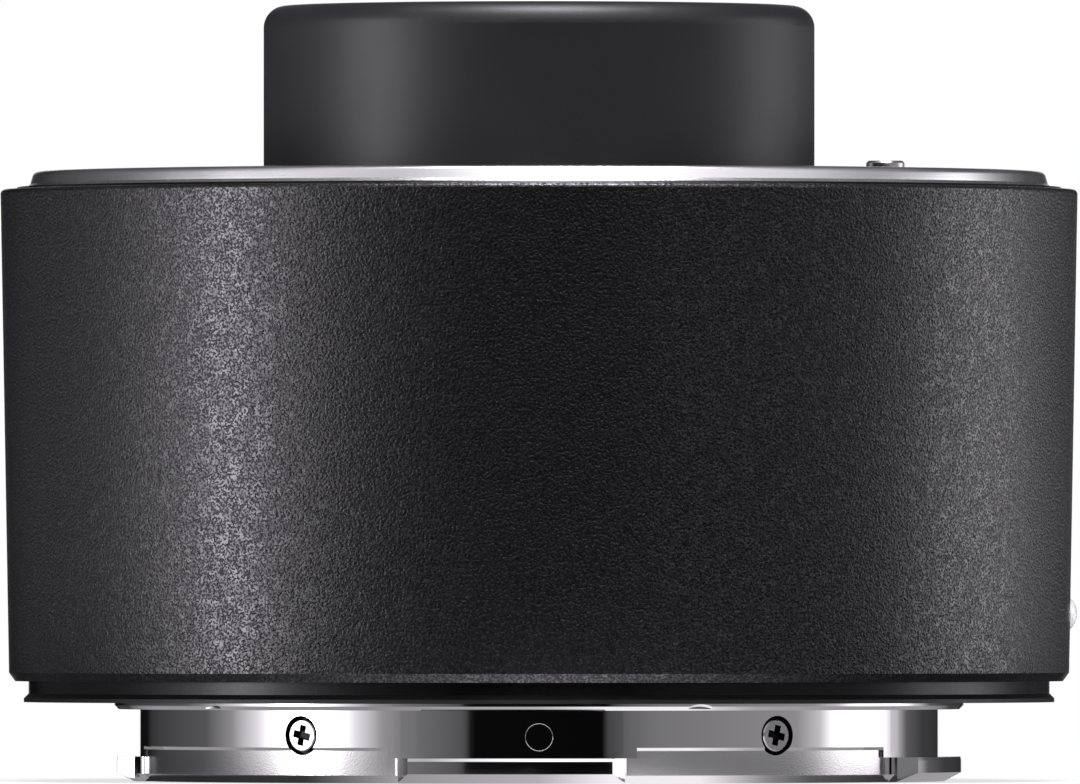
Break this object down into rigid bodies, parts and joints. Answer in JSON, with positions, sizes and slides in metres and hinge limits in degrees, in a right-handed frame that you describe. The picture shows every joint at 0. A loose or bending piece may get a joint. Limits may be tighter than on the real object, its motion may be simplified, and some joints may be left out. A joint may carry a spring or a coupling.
{
  "type": "camera teleconverter",
  "caption": "Short cylindrical lens extender: bayonet that mounts on a camera, mount ring that takes a lens, protruding front lens barrel, spring contacts and a sliding lens release.",
  "frame": {"origin": "on the optical axis, at the camera-side end face of the bayonet tube", "axes": "+Z along the optical axis towards the lens; -Y towards the electrical contacts"},
  "size_m": [0.0694, 0.0694, 0.05],
  "materials": {
    "barrel_black": "fine wrinkled black paint",
    "satin_black": "smooth satin black",
    "knob_black": "satin black with a moulded grip",
    "bayonet_chrome": "chromed and lathe-turned",
    "mount_silver": "satin silver, lathe-turned",
    "seal_rubber": "matte black rubber",
    "optical_glass": "coated optical glass",
    "contact_gold": "gold plate",
    "block_plastic": "moulded matte black",
    "index_white": "white enamel",
    "board_green": "coated board",
    "flex_amber": "amber film",
    "component_black": "moulded",
    "cast_alloy": "black anodised alloy",
    "spring_steel": "spring steel",
    "screw_steel": "plated steel",
    "screw_black": "blackened steel"
  },
  "bodies": {
    "root": {"bayonet_spring": "spring_steel", "board_components": "component_black", "cell_set_screws": "screw_steel", "chassis": "cast_alloy", "contact_block_dowel": "screw_steel", "contact_block_screws": "screw_steel", "contact_springs": "spring_steel", "control_board": "board_green", "front_contact_block": "block_plastic", "front_flex": "flex_amber", "front_index_dot": "index_white", "front_lens_barrel": "satin_black", "front_mount_ring": "mount_silver", "front_mount_screws": "screw_steel", "front_retainer": "satin_black", "front_trim_ring": "satin_black", "glass_element_1": "optical_glass", "glass_element_2": "optical_glass", "glass_element_3": "optical_glass", "glass_element_4": "optical_glass", "glass_element_5": "optical_glass", "glass_element_6": "optical_glass", "glass_element_7": "optical_glass", "glass_element_8": "optical_glass", "glass_element_9": "optical_glass", "index_bead": "index_white", "lens_barrel_screws": "screw_steel", "light_shield": "satin_black", "lock_pin_spring": "spring_steel", "outer_barrel": "barrel_black", "rear_baffle": "satin_black", "rear_bayonet": "bayonet_chrome", "rear_contact_block": "block_plastic", "rear_contact_pads": "contact_gold", "rear_cover": "satin_black", "rear_flex": "flex_amber", "rear_lens_cell": "satin_black", "rear_mount_screws": "screw_steel", "rear_retainer": "satin_black", "rear_shim": "spring_steel", "rear_spacer": "satin_black", "release_guide_screws": "screw_steel", "seal_ring": "seal_rubber", "small_pan_screws": "screw_steel", "spacer_1": "satin_black", "spacer_2": "satin_black"},
    "release": {"release_plate": "spring_steel", "release_knob": "knob_black", "knob_screws": "screw_black"},
    "lock": {"lock_pin": "screw_steel"},
    "pin_01": {"contact_pin_01": "contact_gold"},
    "pin_02": {"contact_pin_02": "contact_gold"},
    "pin_03": {"contact_pin_03": "contact_gold"},
    "pin_04": {"contact_pin_04": "contact_gold"},
    "pin_05": {"contact_pin_05": "contact_gold"},
    "pin_06": {"contact_pin_06": "contact_gold"},
    "pin_07": {"contact_pin_07": "contact_gold"},
    "pin_08": {"contact_pin_08": "contact_gold"},
    "pin_09": {"contact_pin_09": "contact_gold"},
    "pin_10": {"contact_pin_10": "contact_gold"}
  },
  "joints": [
    {"name": "release_slide", "type": "slide", "parent": "root", "child": "release", "axis": [0, 0, -1], "range_m": [0, 0.0016], "stiffness_N_per_m": 800, "springref_m": -0.002},
    {"name": "lock_pin_travel", "type": "slide", "parent": "root", "child": "lock", "axis": [0, 0, -1], "range_m": [0, 0.0016], "deforming": ["lock_pin_spring"]},
    {"name": "pin_01_travel", "type": "slide", "parent": "root", "child": "pin_01", "axis": [0, 0, -1], "range_m": [0, 0.0009], "stiffness_N_per_m": 500, "springref_m": -0.0004, "deforming": ["contact_springs"]},
    {"name": "pin_02_travel", "type": "slide", "parent": "root", "child": "pin_02", "axis": [0, 0, -1], "range_m": [0, 0.0009], "stiffness_N_per_m": 500, "springref_m": -0.0004, "deforming": ["contact_springs"]},
    {"name": "pin_03_travel", "type": "slide", "parent": "root", "child": "pin_03", "axis": [0, 0, -1], "range_m": [0, 0.0009], "stiffness_N_per_m": 500, "springref_m": -0.0004, "deforming": ["contact_springs"]},
    {"name": "pin_04_travel", "type": "slide", "parent": "root", "child": "pin_04", "axis": [0, 0, -1], "range_m": [0, 0.0009], "stiffness_N_per_m": 500, "springref_m": -0.0004, "deforming": ["contact_springs"]},
    {"name": "pin_05_travel", "type": "slide", "parent": "root", "child": "pin_05", "axis": [0, 0, -1], "range_m": [0, 0.0009], "stiffness_N_per_m": 500, "springref_m": -0.0004, "deforming": ["contact_springs"]},
    {"name": "pin_06_travel", "type": "slide", "parent": "root", "child": "pin_06", "axis": [0, 0, -1], "range_m": [0, 0.0009], "stiffness_N_per_m": 500, "springref_m": -0.0004, "deforming": ["contact_springs"]},
    {"name": "pin_07_travel", "type": "slide", "parent": "root", "child": "pin_07", "axis": [0, 0, -1], "range_m": [0, 0.0009], "stiffness_N_per_m": 500, "springref_m": -0.0004, "deforming": ["contact_springs"]},
    {"name": "pin_08_travel", "type": "slide", "parent": "root", "child": "pin_08", "axis": [0, 0, -1], "range_m": [0, 0.0009], "stiffness_N_per_m": 500, "springref_m": -0.0004, "deforming": ["contact_springs"]},
    {"name": "pin_09_travel", "type": "slide", "parent": "root", "child": "pin_09", "axis": [0, 0, -1], "range_m": [0, 0.0009], "stiffness_N_per_m": 500, "springref_m": -0.0004, "deforming": ["contact_springs"]},
    {"name": "pin_10_travel", "type": "slide", "parent": "root", "child": "pin_10", "axis": [0, 0, -1], "range_m": [0, 0.0009], "stiffness_N_per_m": 500, "springref_m": -0.0004, "deforming": ["contact_springs"]}
  ],
  "couplings": [
    {"joint": "lock_pin_travel", "follows": "release_slide", "ratio": 1}
  ]
}
